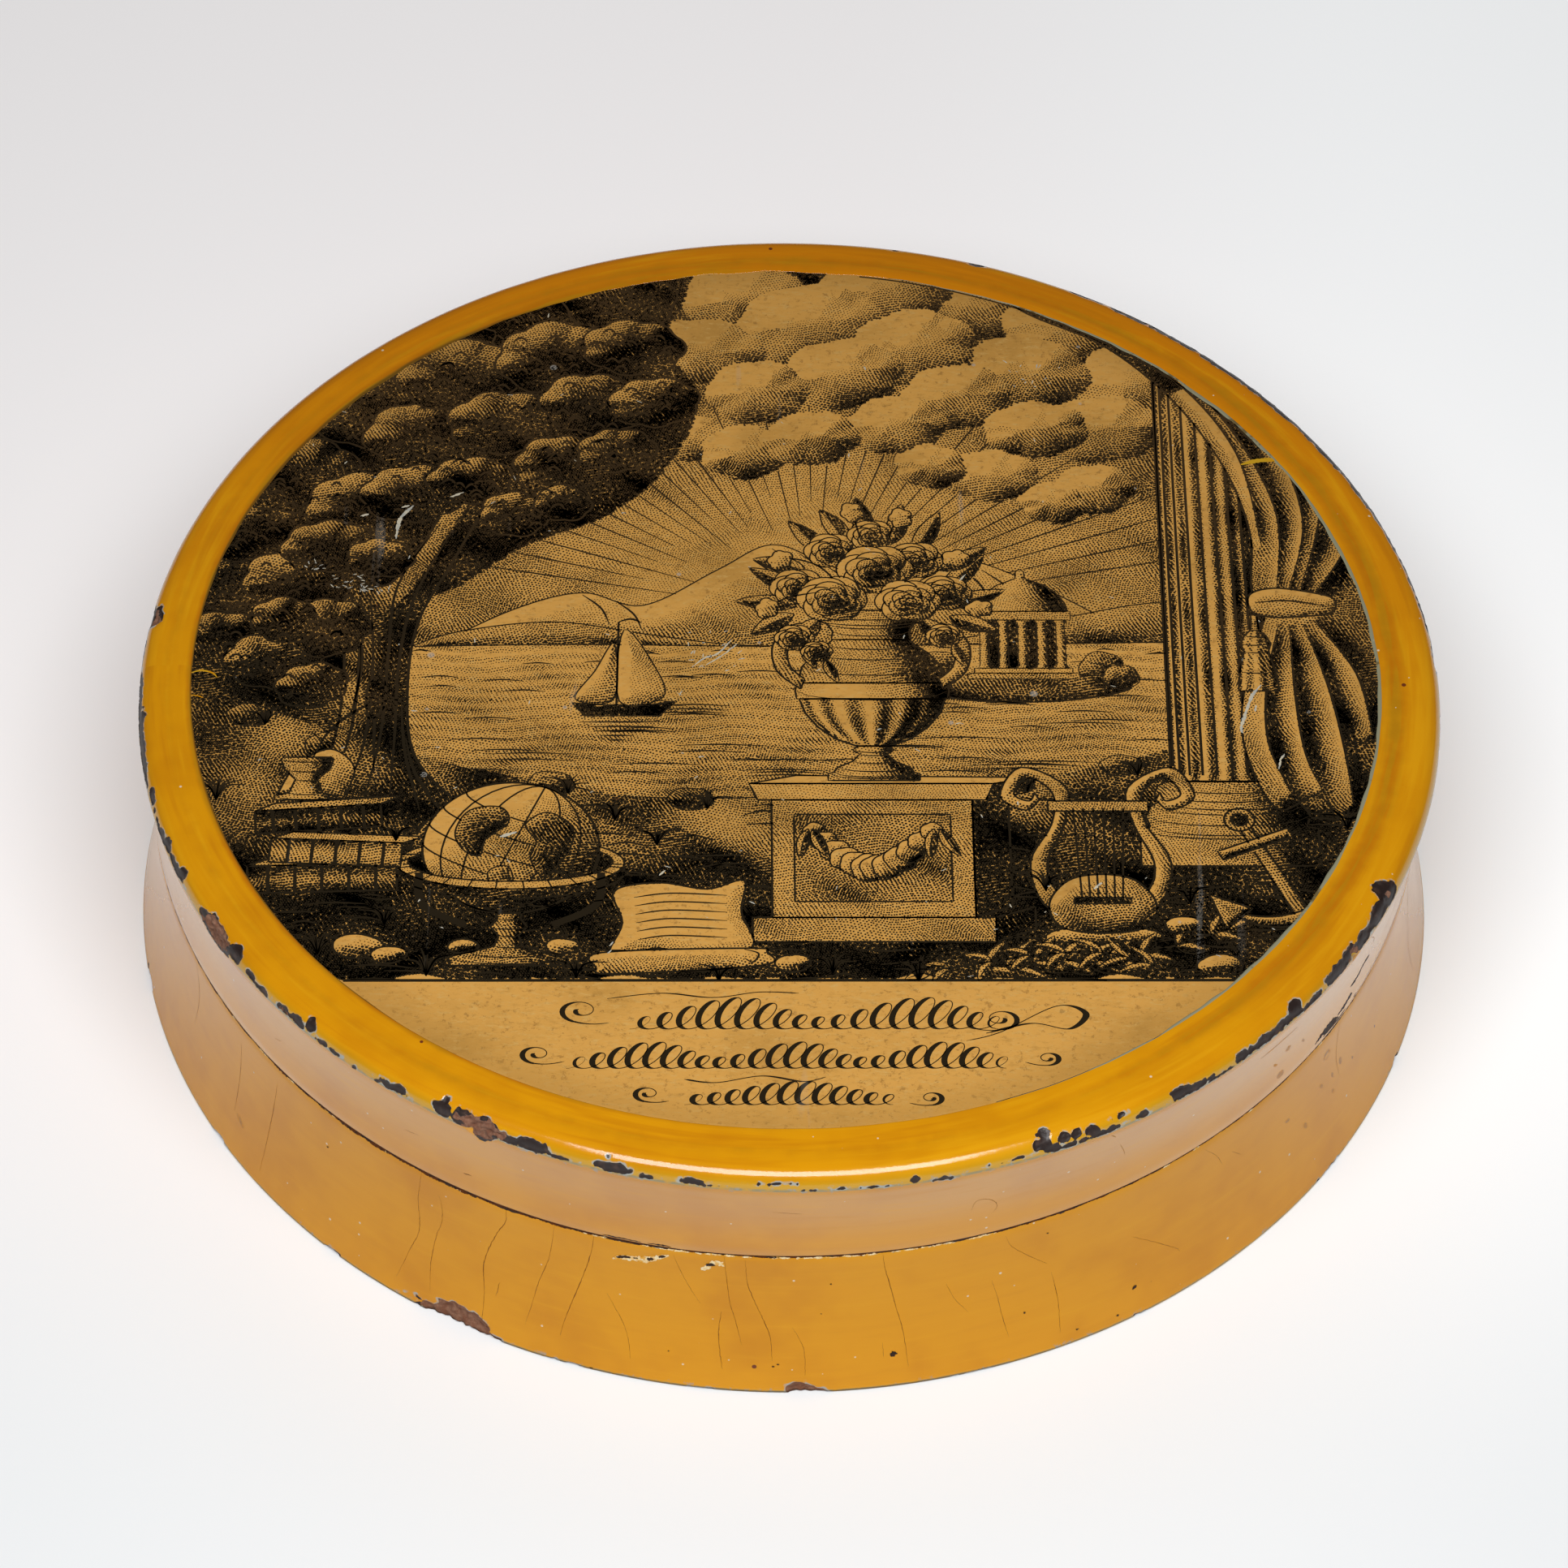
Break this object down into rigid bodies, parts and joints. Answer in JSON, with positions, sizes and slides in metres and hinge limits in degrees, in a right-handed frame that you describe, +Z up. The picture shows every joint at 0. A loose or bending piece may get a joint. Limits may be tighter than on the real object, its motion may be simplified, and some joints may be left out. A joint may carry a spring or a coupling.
{
  "type": "round lacquer box",
  "caption": "Round papier-mache box with a waisted side, a slip-over lid on a throat ring and a varnished print framed in ochre lacquer.",
  "frame": {"origin": "centre of the foot, on the plane that the box stands on", "axes": "+Z up along the axis that the box is turned about; +X to the right and +Y away from the viewer when the print is read upright"},
  "size_m": [0.0965, 0.0964, 0.0234],
  "materials": {
    "ochre_lacquer": "gloss",
    "dark_lacquer": "satin",
    "varnished_print": "gloss"
  },
  "bodies": {
    "base": {"base_hoop": "ochre_lacquer", "base_board": "dark_lacquer", "throat_ring": "dark_lacquer"},
    "lid": {"lid_hoop": "ochre_lacquer", "lid_board": "dark_lacquer", "print_sheet": "varnished_print"}
  },
  "joints": [
    {"name": "lid_lift", "type": "slide", "parent": "base", "child": "lid", "axis": [0, 0, 1], "range_m": [0, 0.03]}
  ]
}
